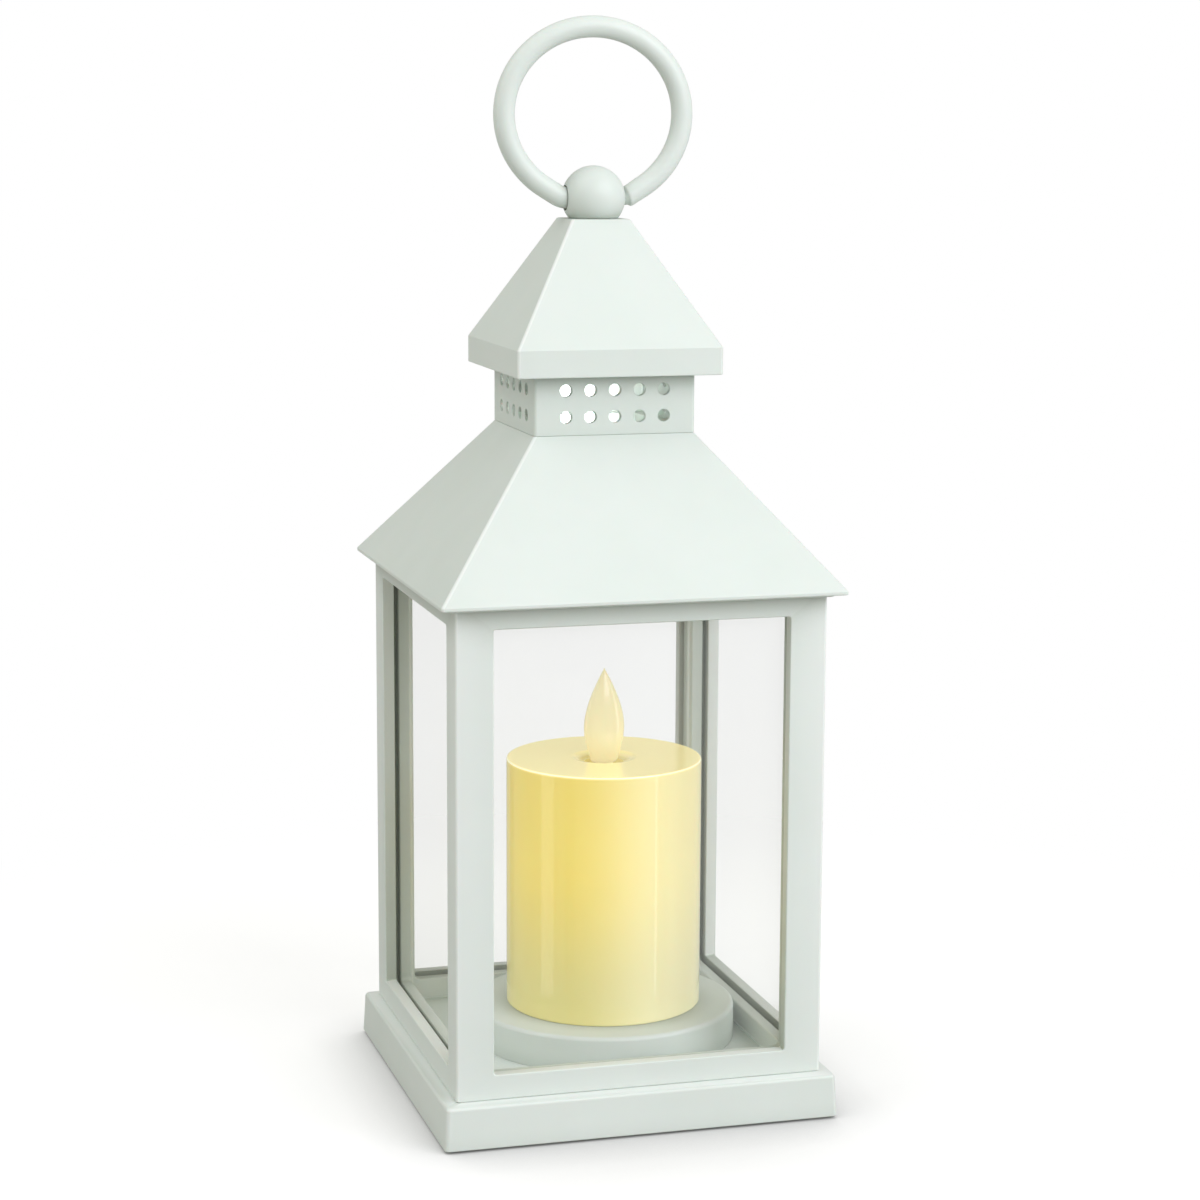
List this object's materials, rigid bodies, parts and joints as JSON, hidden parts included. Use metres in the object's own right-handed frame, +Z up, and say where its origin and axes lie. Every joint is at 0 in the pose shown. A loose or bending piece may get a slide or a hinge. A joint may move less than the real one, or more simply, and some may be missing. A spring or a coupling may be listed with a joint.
{
  "type": "battery candle lantern",
  "caption": "Square table lantern with clear windows, stepped roof, vented collar, swinging ring handle and a battery candle with a swaying flame.",
  "frame": {"origin": "centre of the square footprint, on the surface that the four rubber pads stand on", "axes": "+Z up; the front is the -Y side, +X is to the right seen from the front; the ring lies in the XZ plane"},
  "size_m": [0.1058, 0.1058, 0.2835],
  "materials": {
    "shell_plastic": "satin moulded, pale grey-green white",
    "clear_pane": "clear polished sheet",
    "steel": "zinc plated",
    "contact_metal": "bright nickel plated",
    "battery_sleeve": "plain printed sleeve",
    "foot_rubber": "matt moulded",
    "candle_wax": "glossy moulded wax look",
    "flame_plastic": "translucent moulded",
    "lamp_lens": "clear lens",
    "core_plastic": "moulded",
    "copper": "enamelled winding",
    "dark_plastic": "moulded",
    "board": "laminate",
    "lead_sleeve": "soft sleeve"
  },
  "bodies": {
    "lantern": {"plinth": "shell_plastic", "base_plate": "shell_plastic", "body_frame": "shell_plastic", "roof": "shell_plastic", "vent_collar": "shell_plastic", "cap": "shell_plastic", "finial_ball": "shell_plastic", "candle_pedestal": "shell_plastic", "pane_front": "clear_pane", "pane_back": "clear_pane", "pane_left": "clear_pane", "pane_right": "clear_pane", "base_screw_1": "steel", "base_screw_2": "steel", "base_screw_3": "steel", "base_screw_4": "steel", "core_screw_1": "steel", "core_screw_2": "steel", "finial_screw": "steel", "finial_washer": "steel", "flame_wire": "steel", "switch_body": "steel", "contact_spring_1": "contact_metal", "contact_spring_2": "contact_metal", "contact_spring_3": "contact_metal", "contact_plate_start": "contact_metal", "contact_plate_link_1": "contact_metal", "contact_plate_link_2": "contact_metal", "contact_plate_end": "contact_metal", "battery_1": "battery_sleeve", "battery_2": "battery_sleeve", "battery_3": "battery_sleeve", "foot_pad_1": "foot_rubber", "foot_pad_2": "foot_rubber", "foot_pad_3": "foot_rubber", "foot_pad_4": "foot_rubber", "candle_shell": "candle_wax", "lamp": "lamp_lens", "candle_core": "core_plastic", "drive_coil": "copper", "battery_box": "dark_plastic", "circuit_board": "board", "lamp_lead": "lead_sleeve"},
    "ring": {"ring_handle": "shell_plastic"},
    "flame_swing": {"flame": "flame_plastic", "flame_magnet": "steel"},
    "switch": {"switch_knob": "dark_plastic"},
    "battery_hatch": {"battery_door": "shell_plastic"}
  },
  "joints": [
    {"name": "ring_hinge", "type": "hinge", "parent": "lantern", "child": "ring", "pos_m": [0, 0, 0.237], "axis": [1, 0, 0], "range_deg": [-135, 135]},
    {"name": "flame_hinge", "type": "hinge", "parent": "lantern", "child": "flame_swing", "pos_m": [0.0036, 0, 0.0823], "axis": [0, 1, 0], "range_deg": [-10, 10]},
    {"name": "switch_slide", "type": "slide", "parent": "lantern", "child": "switch", "axis": [1, 0, 0], "range_m": [-0.002, 0.002]},
    {"name": "battery_door_hinge", "type": "hinge", "parent": "lantern", "child": "battery_hatch", "pos_m": [-0.0213, 0, 0.0014], "axis": [0, 1, 0], "range_deg": [0, 75]}
  ]
}
